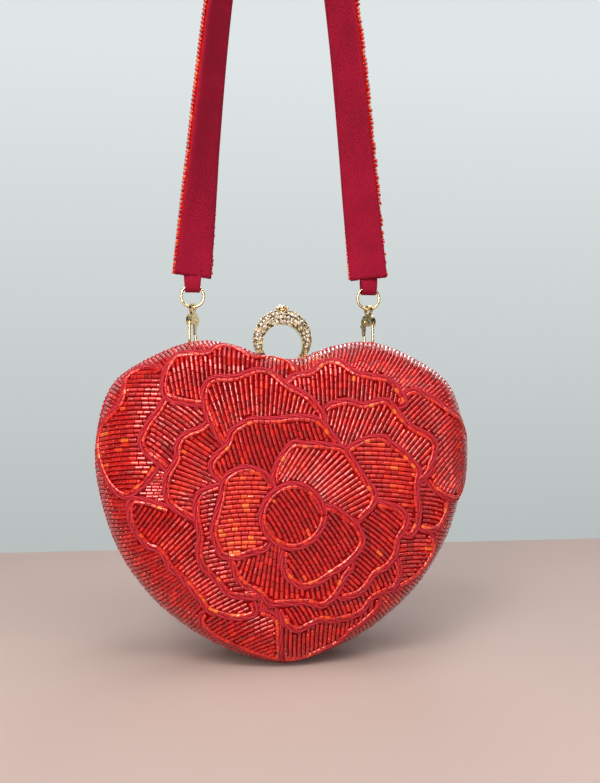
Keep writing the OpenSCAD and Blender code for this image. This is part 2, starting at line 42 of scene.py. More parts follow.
# Sizes of the purse, in millimetres, as in its construction. The heart's tip stands at z = 0,
# its halves part at y = 0, and the frame's origin lies under the strap's arch
heart_w, heart_h, half_depth = 188.0, 162.0, 33.0
centre_share = 0.543
centre_z = heart_h * centre_share
hang_y, hang_z = 2.05, 428.537
rim_out_y = 1.5
lug_x = 46.436
strap_w, strap_end_z, strap_rise = 20.0, 196.537, 234.0
# The heart's right outline as shares of half its width and of its height, and the section of a
# half from its rim to its middle as shares of the outline's distance and of the half's depth
outline_shares = [[0, 0], [0.255, 0.037], [0.5, 0.114], [0.723, 0.228], [0.894, 0.383],
    [0.99, 0.58], [0.985, 0.74], [0.904, 0.87], [0.713, 0.948], [0.489, 0.997],
    [0.287, 0.988], [0.096, 0.948], [0, 0.944]]
puff_shares = [[0.95, 0.045], [0.985, 0.14], [1, 0.3], [0.985, 0.5], [0.94, 0.68],
    [0.86, 0.82], [0.72, 0.92], [0.5, 0.975], [0.24, 0.995], [0, 1]]

# Small helpers


def hex_colour(code):
    """An sRGB hex colour as linear numbers with full alpha."""
    parts = [int(code[i:i + 2], 16) / 255 for i in (1, 3, 5)]
    return [p / 12.92 if p <= 0.04045 else ((p + 0.055) / 1.055) ** 2.4 for p in parts] + [1]


def node(tree, kind, links=(), **settings):
    """Adds a node: links are (input, node, socket or value) pairs, settings its attributes."""
    made = tree.nodes.new(kind)
    for key, value in settings.items():
        setattr(made, key, value)
    for socket, value in links:
        target = made.inputs[socket]
        if isinstance(value, bpy.types.NodeSocket):
            tree.links.new(value, target)
        elif isinstance(value, bpy.types.Node):
            tree.links.new(value.outputs[0], target)
        else:
            target.default_value = value
    return made


def new_material(name, shader_inputs):
    """A material with one principled shader, and its tree."""
    made = bpy.data.materials.new(name)
    made.use_nodes = True
    tree = made.node_tree
    shader = tree.nodes["Principled BSDF"]
    for key, value in shader_inputs.items():
        shader.inputs[key].default_value = value
    return made, tree, shader


def two_tones(tree, share, low, high):
    """A colour between two hex colours, by a node or socket that gives 0 to 1."""
    made = node(tree, "ShaderNodeMix", [(0, share), (6, hex_colour(low)), (7, hex_colour(high))],
        data_type="RGBA")
    return made.outputs[2]


def grain(tree, scale, detail=2.0):
    """Fine noise in the object's own coordinates: scale is in grains per metre."""
    place = node(tree, "ShaderNodeTexCoord")
    made = node(tree, "ShaderNodeTexNoise", [("Vector", place.outputs["Object"]),
        ("Scale", scale), ("Detail", detail)])
    return made.outputs["Fac"]


def raised(tree, shader, height, strength, depth):
    """Lets the surface rise with a height from 0 to 1: depth is in metres."""
    made = node(tree, "ShaderNodeBump", [("Height", height), ("Strength", strength),
        ("Distance", depth)])
    tree.links.new(made.outputs[0], shader.inputs["Normal"])


def smooth_curve(points, steps, closed=True):
    """Points on a smooth curve through the given points."""
    pts = [np.array(p, float) for p in points]
    n = len(pts)
    made = []
    for i in range(n if closed else n - 1):
        if closed:
            a, b, c, d = (pts[(i + k) % n] for k in (-1, 0, 1, 2))
        else:
            b, c = pts[i], pts[i + 1]
            a = pts[i - 1] if i else 2 * b - c
            d = pts[i + 2] if i + 2 < n else 2 * c - b
        for k in range(steps):
            t = k / steps
            made.append((2 * b + (c - a) * t + (2 * a - 5 * b + 4 * c - d) * t * t
                + (3 * b - a - 3 * c + d) * t ** 3) / 2)
    if not closed:
        made.append(pts[-1])
    return np.array(made)


def flat_places(turn, run):
    """Flat places about the middle, by their directions and distances."""
    return np.stack([run * np.cos(turn), run * np.sin(turn)], -1)


def to_frame(points):
    """Points in the purse's own millimetres as metres in the shared frame."""
    return (np.asarray(points, float) - [0, hang_y, hang_z]) * mm


def finish_piece(name, bm, material, body, normals=True):
    """Makes an object of a bmesh and lets it ride on a body."""
    if normals:
        bmesh.ops.recalc_face_normals(bm, faces=bm.faces)
    mesh = bpy.data.meshes.new(name)
    bm.to_mesh(mesh)
    bm.free()
    for face in mesh.polygons:
        face.use_smooth = True
    mesh.materials.append(material)
    made = bpy.data.objects.new(name, mesh)
    bpy.context.scene.collection.objects.link(made)
    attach(made, body)
    return made


# Camera, stage and lamps

film_height, near_limit = 24, 0.02
photo_height_px, focal_px = 783, 886
view_turn = math.radians(-8)
view_distance, view_height, view_shift = 464.0, 137.0, 9.4
camera_place = [view_shift + view_distance * math.sin(view_turn),
    -view_distance * math.cos(view_turn), view_height]
camera = bpy.data.objects.new("camera", bpy.data.cameras.new("camera"))
camera.location = to_frame(camera_place)
camera.rotation_euler = (math.radians(90), 0, view_turn)
camera.data.sensor_fit = "VERTICAL"
camera.data.sensor_height = film_height
camera.data.lens = film_height * focal_px / photo_height_px
camera.data.clip_start = near_limit
bpy.context.scene.collection.objects.link(camera)
bpy.context.scene.camera = camera
bpy.context.scene.view_settings.view_transform = "Standard"

# Painted board of the table top: matt, without grain at this distance
floor_paint = new_material("floor_matt_paint", {
    "Base Color": hex_colour("#C0AFAA"), "Roughness": 0.85, "Specular IOR Level": 0.2})[0]
# Painted wall far behind, out of the lamps: it glows with a painted lit tone, lighter above as
# painted daylight from a window, that only the camera and mirrored rays see, so it gives the purse
# no light
wall_lit_glow, wall_tree, wall_shader = new_material("wall_glow_of_painted_daylight", {
    "Base Color": hex_colour("#000000"), "Roughness": 0.9, "Specular IOR Level": 0.0})
place = node(wall_tree, "ShaderNodeTexCoord")
parts = node(wall_tree, "ShaderNodeSeparateXYZ", [(0, place.outputs["Object"])])
daylight = node(wall_tree, "ShaderNodeMapRange", [("Value", parts.outputs["Z"]),
    ("From Min", -0.55), ("From Max", 0.3)])
wall_painted_daylight = two_tones(wall_tree, daylight, "#B9BFBE", "#E0E6E7")
wall_tree.links.new(wall_painted_daylight, wall_shader.inputs["Emission Color"])
ray = node(wall_tree, "ShaderNodeLightPath")
mirrored = node(wall_tree, "ShaderNodeMath", [(0, ray.outputs["Is Glossy Ray"]),
    (1, ray.outputs["Is Transmission Ray"])], operation="ADD")
seen = node(wall_tree, "ShaderNodeMath", [(0, ray.outputs["Is Camera Ray"]), (1, mirrored)],
    operation="ADD", use_clamp=True)
wall_tree.links.new(seen.outputs[0], wall_shader.inputs["Emission Strength"])


def plain_sheet(name, centre, size, turn, material):
    """A flat square of the stage, in metres."""
    bm = bmesh.new()
    bmesh.ops.create_grid(bm, x_segments=1, y_segments=1, size=size)
    bmesh.ops.rotate(bm, verts=bm.verts, matrix=Matrix.Rotation(turn, 3, "X"))
    bmesh.ops.translate(bm, verts=bm.verts, vec=centre)
    mesh = bpy.data.meshes.new(name)
    bm.to_mesh(mesh)
    bm.free()
    mesh.materials.append(material)
    made = bpy.data.objects.new(name, mesh)
    bpy.context.scene.collection.objects.link(made)


# The table top ends behind the purse, and the wall stands further off, clear of every view
floor_z, floor_gap = -hang_z * mm, 0.0004
table_end, wall_y, reach = 0.32, 1.1, 3.0
plain_sheet("floor", (0, table_end - reach, floor_z - floor_gap), reach, 0, floor_paint)
plain_sheet("wall", (0, wall_y, 0), reach, math.radians(90), wall_lit_glow)


def area_lamp(name, place, aim, size, power, colour):
    """A lamp of an even rectangle, in metres and watts, that the camera doesn't see."""
    lamp = bpy.data.lights.new(name, "AREA")
    lamp.shape = "RECTANGLE"
    lamp.size, lamp.size_y = size
    lamp.energy = power
    lamp.color = hex_colour(colour)[:3]
    made = bpy.data.objects.new(name, lamp)
    made.location = place
    made.rotation_euler = (Vector(aim) - Vector(place)).to_track_quat("-Z", "Y").to_euler()
    made.visible_camera = False
    bpy.context.scene.collection.objects.link(made)


aim_at = (0, 0, -0.33)
# Long lamps, upright at the sides and level above: each bead shows one as a thin line. A small
# one in front gives the stones their sparkle, and one behind and one on top part the rim from
# the wall
area_lamp("left_strip_lamp", (-0.55, -1.1, 0.12), aim_at, (0.3, 1.4), 15, "#FFF6EA")
area_lamp("upper_strip_lamp", (-0.1, -0.95, 0.7), aim_at, (1.7, 0.3), 12, "#FFF8EE")
area_lamp("right_strip_lamp", (0.9, -0.75, 0.2), aim_at, (0.2, 1.2), 1.5, "#FAFAFF")
area_lamp("small_front_lamp", (-0.15, -1.15, -0.08), aim_at, (0.1, 0.1), 2, "#FFF8F2")
area_lamp("back_lamp", (0.25, 0.9, 0.4), aim_at, (0.5, 0.5), 3, "#FFFFFF")
area_lamp("top_lamp", (0.1, -0.1, 0.9), aim_at, (0.9, 0.3), 4, "#FFFFFF")

# Plain studio air: pale bands at window height and overhead, so that metal and glass have
# something to mirror
world = bpy.data.worlds.new("studio")
bpy.context.scene.world = world
world.use_nodes = True
air = world.node_tree
background = air.nodes["Background"]
direction = node(air, "ShaderNodeTexCoord")
parts = node(air, "ShaderNodeSeparateXYZ", [(0, direction.outputs["Generated"])])
lift = node(air, "ShaderNodeMapRange", [("Value", parts.outputs["Z"]), ("From Min", -1.0)])
bands = node(air, "ShaderNodeValToRGB", [("Fac", lift.outputs[0])])
bands.color_ramp.elements[0].color = [0.02, 0.02, 0.02, 1]
bands.color_ramp.elements[1].color = [0.45, 0.45, 0.46, 1]
grey_bands = ((0.52, 0.02), (0.56, 0.1), (0.62, 0.1), (0.67, 0.02), (0.84, 0.04), (0.9, 0.45))
for at, grey in grey_bands:
    bands.color_ramp.elements.new(at).color = [grey, grey, grey, 1]
air.links.new(bands.outputs["Color"], background.inputs["Color"])

# Form of a puffed half

# The section from the middle of a half out to its rim, and the heart's outline about the
# middle; a place on the half is given flat, by its direction and its distance over the skin
half_outline = smooth_curve(outline_shares + [[-x, z] for x, z in outline_shares[-2:0:-1]], 12)
half_outline = half_outline * [heart_w / 2, heart_h] - [0, centre_z]
outline_turn = np.arctan2(half_outline[:, 1], half_outline[:, 0])
outline_out = np.hypot(half_outline[:, 0], half_outline[:, 1])
in_turn = np.argsort(outline_turn)
outline_turn, outline_out = outline_turn[in_turn], outline_out[in_turn]
section = smooth_curve([[-0.24, 0.995]] + puff_shares[::-1], 10, closed=False)[10:]
turn_steps = 720
table_turn = np.linspace(-math.pi, math.pi, turn_steps + 1)
table_out = np.interp(table_turn, outline_turn, outline_out, period=2 * math.pi)
table_share = np.outer(table_out, section[:, 0])
table_depth = np.outer(np.ones(turn_steps + 1), section[:, 1] * half_depth)
table_run = np.concatenate([np.zeros((turn_steps + 1, 1)), np.cumsum(np.hypot(
    np.diff(table_share, axis=1), np.diff(table_depth, axis=1)), axis=1)], axis=1)
run_samples = 240
run_share = np.linspace(0, 1, run_samples + 1)
even_out = np.empty((turn_steps + 1, run_samples + 1))
even_depth = np.empty_like(even_out)
for i in range(turn_steps + 1):
    even_out[i] = np.interp(run_share * table_run[i, -1], table_run[i], table_share[i])
    even_depth[i] = np.interp(run_share * table_run[i, -1], table_run[i], table_depth[i])
full_run = table_run[:, -1]
# Share of the half's depth at which its puffed face turns into its side
side_depth_share = 0.42
side_run = np.array([np.interp(0, -table_depth[i] + half_depth * side_depth_share, table_run[i])
    for i in range(turn_steps + 1)])


def run_to_rim(turn):
    """Distance over the skin from the middle to the rim."""
    return np.interp(turn, table_turn, full_run)


def run_to_side(turn):
    """Distance over the skin from the middle to where the puffed face turns into its side."""
    return np.interp(turn, table_turn, side_run)


def skin_at(turn, run):
    """Points of the skin of the back half, before relief, in the purse's own millimetres."""
    turn = (np.asarray(turn) + math.pi) % (2 * math.pi) - math.pi
    u = np.clip((turn + math.pi) / (2 * math.pi) * turn_steps, 0, turn_steps - 1e-6)
    v = np.clip(run / run_to_rim(turn), 0, 1 - 1e-9) * run_samples
    i, j = u.astype(int), v.astype(int)
    fu, fv = u - i, v - j

    def read(table):
        return ((table[i, j] * (1 - fu) + table[i + 1, j] * fu) * (1 - fv)
            + (table[i, j + 1] * (1 - fu) + table[i + 1, j + 1] * fu) * fv)
    out = read(even_out)
    return np.stack([out * np.cos(turn), read(even_depth), centre_z + out * np.sin(turn)], -1)


def skin_out(turn, run):
    """The outward direction of the skin at those places."""
    step = 0.25
    flat = flat_places(turn, run)

    def at(shift):
        x, z = np.moveaxis(flat + shift, -1, 0)
        return skin_at(np.arctan2(z, x), np.hypot(x, z))
    across = at([step, 0]) - at([-step, 0])
    up = at([0, step]) - at([0, -step])
    out = np.cross(up, across)
    return out / np.linalg.norm(out, axis=-1, keepdims=True)


def on_skin(flat, lift, way):
    """Places given flat, lifted off the skin, in metres: way is -1 for the front half."""
    flat = np.asarray(flat, float)
    turn, run = np.arctan2(flat[:, 1], flat[:, 0]), np.hypot(flat[:, 0], flat[:, 1])
    run = np.minimum(run, run_to_rim(turn))
    place, out = skin_at(turn, run), skin_out(turn, run)
    place = place + out * np.asarray(lift)[..., None]
    place[:, 1] = np.maximum(place[:, 1], rim_out_y) * way
    out = out * [1, way, 1]
    return to_frame(place), out

# Petals of the rose

# Each petal, topmost first: its edge in flat millimetres about the middle, its height over the
# cover, and its rows of beads: their direction in degrees, or the point that they fan out from
petals = [
    ("bud", [[17, -11], [12, 0], [1, 5], [-10, 0], [-15, -11], [-10, -22], [1, -27], [12, -22]],
        3.0, -60, None),
    ("left_inner", [[-10, 7], [-17, 12], [-23, 13], [-30, 10], [-33, 6], [-34, -1], [-36, -9],
        [-38, -17], [-36, -25], [-33, -30], [-26, -31], [-19, -29], [-11, -26], [-4, -11]],
        2.3, 0, None),
    ("lower_inner", [[-4, -28], [-4, -37], [-2, -41], [3, -45], [7, -46], [14, -44], [20, -40],
        [28, -35], [33, -30], [36, -25], [35, -20], [32, -15], [27, -11], [21, -7], [12, -6],
        [2, -14]], 2.3, -55, None),
    ("upper_inner", [[-8, 4], [-8, 12], [-5, 18], [-1, 23], [2, 25], [7, 24], [14, 24], [20, 23],
        [26, 22], [30, 17], [34, 11], [38, 5], [42, 0], [42, -3], [41, -7], [37, -11],
        [31, -15], [14, -10], [2, -4]], 2.2, 50, (-32, -38)),
    ("lower_left_inner", [[-30, -29], [-28, -36], [-26, -41], [-22, -45], [-16, -48], [-10, -54],
        [-5, -54], [2, -54], [8, -54], [15, -56], [19, -54], [23, -50], [27, -42], [30, -34],
        [10, -20], [-8, -16], [-22, -20]], 1.8, 90, (-2, 30)),
    ("top_middle", [[-30, -8], [-31, 2], [-37, 9], [-39, 14], [-36, 19], [-31, 24], [-29, 30],
        [-25, 33], [-19, 36], [-13, 36], [-6, 36], [0, 37], [7, 37], [13, 36], [17, 33],
        [20, 29], [24, 22], [14, 10], [0, 2], [-20, -4]], 1.8, 110, None),
    ("left_middle", [[-33, 4], [-37, 4], [-44, 1], [-46, -4], [-46, -10], [-45, -15], [-44, -21],
        [-45, -26], [-44, -32], [-42, -36], [-36, -42], [-31, -48], [-26, -50], [-15, -50],
        [-10, -44], [-20, -28], [-28, -8]], 1.7, 5, None),
    ("right_middle", [[36, -4], [43, -5], [48, -6], [54, -8], [58, -12], [58, -18], [54, -24],
        [53, -31], [48, -38], [42, -41], [38, -47], [33, -51], [28, -52], [24, -52], [20, -44],
        [22, -34], [30, -18]], 1.7, -38, None),
    ("upper_right_middle", [[20, 21], [26, 21], [34, 25], [40, 27], [47, 27], [50, 24],
        [56, 20], [61, 15], [65, 10], [64, 4], [64, -3], [65, -12], [64, -18], [60, -23],
        [50, -20], [42, -12], [30, 4]], 1.4, -3, None),
    ("top_outer", [[-39, 34], [-42, 43], [-42, 50], [-40, 54], [-36, 56], [-28, 56], [-22, 58],
        [-16, 60], [-9, 59], [-4, 55], [1, 51], [4, 50], [9, 47], [13, 43], [17, 35], [8, 26],
        [-12, 26], [-30, 22]], 1.4, 90, (-14, -20)),
    ("left_outer", [[-10, 34], [-17, 41], [-22, 42], [-29, 41], [-35, 39], [-40, 35], [-43, 32],
        [-49, 30], [-53, 27], [-55, 23], [-55, 17], [-58, 12], [-60, 7], [-60, -1], [-57, -6],
        [-51, -10], [-42, -13], [-36, -2], [-28, 16], [-16, 26]], 1.2, -30, (10, -14)),
    ("right_top", [[12, 33], [18, 42], [23, 44], [29, 45], [36, 43], [44, 45], [49, 45], [51, 43],
        [56, 37], [61, 32], [69, 28], [73, 25], [74, 20], [72, 14], [68, 6], [56, 2], [46, 14],
        [24, 20]], 1.1, 68, (0, -50)),
    ("right_crown", [[-4, 52], [-1, 55], [3, 58], [11, 59], [17, 64], [24, 65], [28, 63], [33, 59],
        [42, 57], [49, 56], [52, 54], [55, 50], [58, 42], [40, 38], [20, 38], [6, 44]],
        0.9, 90, (18, -120)),
    ("left_crown", [[-60, 46], [-61, 58], [-59, 64], [-56, 68], [-50, 69], [-41, 69], [-38, 72],
        [-33, 75], [-25, 73], [-20, 69], [-16, 69], [-9, 74], [-1, 70], [4, 61], [4, 53], [-8, 44],
        [-40, 42]], 0.9, 90, (-24, -100)),
    ("left_shoulder", [[-38, 50], [-47, 53], [-52, 53], [-57, 50], [-60, 47], [-64, 40],
        [-68, 35], [-72, 27], [-72, 24], [-69, 19], [-64, 15], [-56, 10], [-48, 16],
        [-40, 34]], 0.8, -38, None),
    ("right_lobe", [[49, 43], [51, 45], [61, 50], [67, 49], [75, 45], [84, 40], [91, 37],
        [99, 30], [103, 20], [101, 6], [94, -4], [84, -6], [70, 2], [62, 18], [52, 34]],
        0.7, 42, None),
    ("right_tuck", [[60, 2], [66, 8], [72, 7], [78, 4], [81, 0], [81, -5], [81, -13], [76, -20],
        [66, -20], [58, -12]], 1.0, -8, None),
    ("left_lobe", [[-56, 50], [-63, 61], [-71, 63], [-77, 62], [-82, 57], [-82, 53], [-82, 46],
        [-86, 41], [-92, 36], [-96, 30], [-97, 22], [-93, 12], [-88, 4], [-82, -1], [-77, -1],
        [-68, 6], [-60, 20], [-56, 36]], 0.6, 2, None),
    ("lower_left", [[-58, -6], [-76, -2], [-77, -14], [-72, -22], [-68, -26], [-64, -27],
        [-60, -32], [-58, -36], [-53, -40], [-49, -45], [-44, -51], [-40, -57], [-35, -59],
        [-26, -61], [-16, -58], [-22, -46], [-38, -32], [-42, -14]], 0.8, 26, (-140, -110)),
    ("lower_right", [[-6, -54], [-5, -60], [-3, -64], [1, -67], [5, -68], [11, -65], [16, -63],
        [21, -64], [30, -63], [37, -60], [41, -54], [47, -51], [53, -49], [56, -40], [50, -32],
        [30, -40], [8, -48]], 0.9, -62, None),
    ("right_low", [[52, -22], [66, -20], [74, -24], [76, -32], [70, -42], [60, -48], [50, -50],
        [46, -40]], 0.5, 0, None),
    ("tip_left", [[-40, -57], [-44, -62], [-40, -70], [-26, -78], [-12, -84], [-4, -85],
        [-4, -72], [-6, -60], [-20, -56]], 0.5, 30, None),
    ("tip_right", [[-4, -60], [-4, -84], [8, -86], [19, -81], [26, -78], [32, -71], [37, -68],
        [46, -58], [40, -50], [10, -56]], 0.5, 88, None),
]
petal_edges = [smooth_curve(petal[1], 7) for petal in petals]
# Petals whose beads get a painted warm highlight: their tone is raised towards the ramp's orange
# end
petal_painted_warm_light = {"left_inner": 0.24, "lower_left_inner": 0.1, "left_outer": 0.16,
    "upper_inner": 0.06, "upper_right_middle": 0.2, "left_lobe": 0.08, "lower_left": 0.04}
# The topmost petals are the rose's heart, the next its middle, and the rest its outside
heart_petals, middle_petals = 7, 13

# Beads and cords in millimetres: a bead's pitch in its row, radius and gap to the next, how
# long beads are cut, how far one is lifted or tilted, and half the cord's width and height
bead_pitch, bead_r, bead_gap = 2.2, 1.06, 0.3
petal_bead_cut, side_bead_cut, strap_bead_cut = (2.6, 3.9), (2.5, 3.7), (2.3, 3.1)
shortest_bead, row_stagger = 0.9, 2.5
bead_seat, bead_uneven = 0.8, 0.12
cord_wide, cord_high = 1.02, 0.8
# How deep the cloth lies under the cover's skin, the bow of a straight row, and how clear of a
# petal above the beads below it stay
cover_sunk, row_bow, petal_clear = 0.9, 1.6, 0.85
# A petal's edge: its lip rises over the rest and fades inward, and its height blends outward
lip_rise, lip_fade, lip_drop, lip_blend = 0.9, 4, 0.2, 1.8
cord_lift = 0.6


# Stands for the distance inside a petal of a point that is well outside it
far_outside = -9.0


def edge_distance(points, edge):
    """How far each point lies inside a closed edge; outside it is below zero."""
    a, b = edge, np.roll(edge, -1, 0)
    ab = b - a
    near = np.full(len(points), 1e9)
    inside = np.zeros(len(points), bool)
    for p, q, d in zip(a, b, ab):
        rel = points - p
        t = np.clip((rel @ d) / max(d @ d, 1e-9), 0, 1)
        near = np.minimum(near, ((rel - t[:, None] * d) ** 2).sum(1))
        cross = (p[1] > points[:, 1]) != (q[1] > points[:, 1])
        if abs(d[1]) > 1e-12:
            inside ^= cross & (points[:, 0] < d[0] * rel[:, 1] / d[1] + p[0])
    return np.where(inside, 1, -1) * np.sqrt(near)


def inner_distances(points):
    """For each petal, how far the points lie inside it."""
    margin = 6
    made = []
    for edge in petal_edges:
        low, high = edge.min(0) - margin, edge.max(0) + margin
        close = ((points > low) & (points < high)).all(1)
        distance = np.full(len(points), far_outside)
        if close.any():
            distance[close] = edge_distance(points[close], edge)
        made.append(distance)
    return np.array(made)


def smooth_step(x):
    """Eases from 0 to 1."""
    x = np.clip(x, 0, 1)
    return x * x * (3 - 2 * x)


def relief(points, distances):
    """Height of the beaded cloth over the cover's plain skin."""
    height = np.zeros(len(points))
    for petal, distance in reversed(list(zip(petals, distances))):
        share = smooth_step((distance + lip_blend / 2) / lip_blend)
        own = petal[2] + lip_rise * np.exp(-np.maximum(distance, 0) / lip_fade) - lip_drop
        height = height * (1 - share) + own * share
    return height - cover_sunk

# Beads, cords and cloth


def tube_bead():
    """One glass tube of unit length and radius along X: straight sides, melted ends."""
    sides, body_share, straight_share = 7, 0.98, 0.44
    bm = bmesh.new()
    bmesh.ops.create_cone(bm, segments=sides, radius1=1, radius2=1, depth=body_share,
        cap_ends=True)
    for cut in (-straight_share, straight_share):
        bmesh.ops.bisect_plane(bm, geom=bm.verts[:] + bm.edges[:] + bm.faces[:],
            plane_co=(0, 0, cut), plane_no=(0, 0, 1))
    bmesh.ops.rotate(bm, verts=bm.verts, matrix=Matrix.Rotation(math.radians(90), 3, "Y"))
    mesh = bpy.data.meshes.new("bead")
    bm.to_mesh(mesh)
    bm.free()
    mesh.attributes.new("tone", "FLOAT", "POINT")
    return mesh


bead_mesh = tube_bead()
bead_points = np.array([v.co for v in bead_mesh.vertices])


def add_beads(bm, ends, outs, radius, tones):
    """Adds a bead between each pair of end points, its flat side to the skin below it."""
    for (a, b), out, tone in zip(ends, outs, tones):
        along = b - a
        side = np.cross(out, along)
        side = side / np.linalg.norm(side)
        up = np.cross(along, side)
        up = up / np.linalg.norm(up)
        turned = (bead_points[:, :1] * along + bead_points[:, 1:2] * side * radius
            + bead_points[:, 2:] * up * radius + (a + b) / 2)
        bead_mesh.vertices.foreach_set("co", turned.ravel())
        bead_mesh.attributes["tone"].data.foreach_set("value", [tone] * len(turned))
        bm.from_mesh(bead_mesh)


def new_bead_bmesh():
    """An empty bmesh for beads, each with its own tone."""
    bm = bmesh.new()
    bm.verts.layers.float.new("tone")
    return bm


def row_places(index, dice):
    """Middle, direction and length of each bead in a petal's rows, before they are trimmed."""
    way, fan = petals[index][3:]
    edge = petal_edges[index]
    start_back = 2
    made = []

    def run(start, stop, place):
        at = start + dice.uniform(0, row_stagger)
        while at < stop:
            length = dice.uniform(*petal_bead_cut)
            made.append((*place(at + length / 2), length))
            at += length + bead_gap
    if fan is None:
        along = np.array([math.cos(math.radians(way)), math.sin(math.radians(way))])
        across = np.array([-along[1], along[0]])
        s, w = edge @ along, edge @ across
        centre, half = (s.min() + s.max()) / 2, (s.max() - s.min()) / 2
        for k in range(int((w.max() - w.min() + row_bow) / bead_pitch) + 1):
            base = w.min() + (k + 0.5) * bead_pitch

            def place(at, base=base):
                share = (at - centre) / half
                bent = along - across * (2 * row_bow * share / half)
                return (along * at + across * (base - row_bow * share ** 2),
                    bent / np.linalg.norm(bent))
            run(s.min() - start_back, s.max(), place)
    else:
        rel = edge - fan
        reach = np.hypot(rel[:, 0], rel[:, 1])
        mid = math.atan2(*(rel.mean(0)[::-1]))
        turn = (np.arctan2(rel[:, 1], rel[:, 0]) - mid + math.pi) % (2 * math.pi) - math.pi
        # The rows stand at their pitch a little past the middle of the fan, and every other
        # one stops where they would crowd
        near_part, far_part = 0.45, 0.55
        crowd_room, row_room = 1.55, 0.8
        step = bead_pitch / (near_part * reach.min() + far_part * reach.max())
        for k in range(int((turn.max() - turn.min()) / step) + 2):
            angle = mid + turn.min() + k * step
            along = np.array([math.cos(angle), math.sin(angle)])

            def place(at, along=along):
                return np.array(fan) + along * at, along
            near = (crowd_room if k % 2 else row_room) / step
            run(max(reach.min() - start_back, near), reach.max(), place)
    return made


def trimmed(mids, ways, lengths, allowed):
    """Beads cut to their allowed stretch: allowed takes places and gives true or false."""
    shares = np.linspace(-0.5, 0.5, 9)
    fits = np.array([allowed(mids + ways * (lengths * k)[:, None]) for k in shares])
    low, high = fits.argmax(0), len(shares) - 1 - fits[::-1].argmax(0)
    kept = fits.any(0) & (fits.sum(0) == high - low + 1)
    kept &= (shares[high] - shares[low]) * lengths > shortest_bead
    a = mids + ways * (lengths * shares[low])[:, None]
    b = mids + ways * (lengths * shares[high])[:, None]
    return np.stack([a, b], 1)[kept], kept


def visible_edge(index):
    """Closely spaced points of a petal's edge, and whether no petal above covers each."""
    spacing, covered_from = 0.55, -0.35
    fine = petal_edges[index]
    steps = np.hypot(*(np.roll(fine, -1, 0) - fine).T)
    run = np.concatenate([[0], np.cumsum(steps)])
    count = int(run[-1] / spacing)
    at = np.linspace(0, run[-1], count, endpoint=False)
    closed = np.vstack([fine, fine[:1]])
    points = np.stack([np.interp(at, run, closed[:, 0]), np.interp(at, run, closed[:, 1])], -1)
    above = inner_distances(points)[:index]
    seen = (above < covered_from).all(0) if index else np.ones(count, bool)
    return points, seen


def stretches(seen):
    """Runs of neighbouring seen points round a closed edge, as lists of places."""
    too_short = 5
    n = len(seen)
    if seen.all():
        return [list(range(n)) + [0]]
    start = int(np.argmin(seen))
    made, run = [], []
    for k in range(1, n + 1):
        i = (start + k) % n
        if seen[i]:
            run.append(i)
        elif run:
            made.append(run)
            run = []
    return [r for r in made if len(r) > too_short]


# The room that the clasp and each lug take: half its width, its depth and its foot's height
clasp_room, lug_room = (9.6, 5.2, 140), (4.4, 5, 150)


def clear_of_fittings(place, way):
    """Whether a place, in the purse's own millimetres, is clear of the clasp and the lugs."""
    x, y, z = abs(place[0]), place[1] * way, place[2]
    at_clasp = x < clasp_room[0] and y < clasp_room[1] and z > clasp_room[2]
    by_lug = abs(x - lug_x) < lug_room[0] and y < lug_room[1] and z > lug_room[2]
    return not (at_clasp or (way > 0 and by_lug))


def cord_along(bm, points, outs):
    """A flat cord of lightly twisted strands through points, its broad side to the skin."""
    sides, strands, pitch = 16, 4, 7.0
    strand_depth, end_share = 0.16, 0.3
    groove_shade = bm.verts.layers.float["groove_shade"]
    n = len(points)
    steps = np.concatenate([[0], np.cumsum(np.linalg.norm(np.diff(points, axis=0), axis=1))])
    grid = bmesh.ops.create_grid(bm, x_segments=n - 1, y_segments=sides, size=1)["verts"]
    along = np.gradient(points, axis=0)
    along /= np.linalg.norm(along, axis=1)[:, None]
    for v in grid:
        i = round((v.co.x + 1) / 2 * (n - 1))
        j = round((v.co.y + 1) / 2 * sides) % sides
        side = np.cross(outs[i], along[i])
        side /= np.linalg.norm(side)
        turn = 2 * math.pi * j / sides
        ridge = math.cos(strands * turn - 2 * math.pi * steps[i] / mm / pitch)
        swell = 1 + strand_depth * ridge
        # Painted shade: the grooves between strands are marked to be coloured darker
        v[groove_shade] = 0.5 - 0.5 * ridge
        if i in (0, n - 1):
            swell *= end_share
        across, up = math.cos(turn) * cord_wide, math.sin(turn) * cord_high
        v.co = points[i] + (across * side + up * outs[i]) * swell * mm
    bmesh.ops.remove_doubles(bm, verts=grid, dist=1e-6)


def inward_at(points, own):
    """Directions square to a petal's edge at its points, towards its inside."""
    tried, probe = 40, 0.5
    tangent = np.roll(points, -1, 0) - np.roll(points, 1, 0)
    inward = np.stack([-tangent[:, 1], tangent[:, 0]], -1)
    inward /= np.linalg.norm(inward, axis=1)[:, None]
    if edge_distance(points[:tried] + inward[:tried] * probe, own).mean() < 0:
        inward = -inward
    return inward


def under_others(spots, index):
    """How far the spots lie inside the nearest petal above this one, below zero outside it."""
    above = inner_distances(spots)[:index]
    return above.max(0) if index else np.full(len(spots), far_outside)


def gap_to(spots, line):
    """Distance from each spot to the nearest of the line's points, a few at a time."""
    far_off, at_once = 99.0, 200
    gap = np.full(len(spots), far_off)
    for chunk in np.array_split(line, max(1, len(line) // at_once)):
        if len(chunk):
            gap = np.minimum(gap, np.sqrt(((spots[:, None] - chunk) ** 2).sum(-1)).min(1))
    return gap


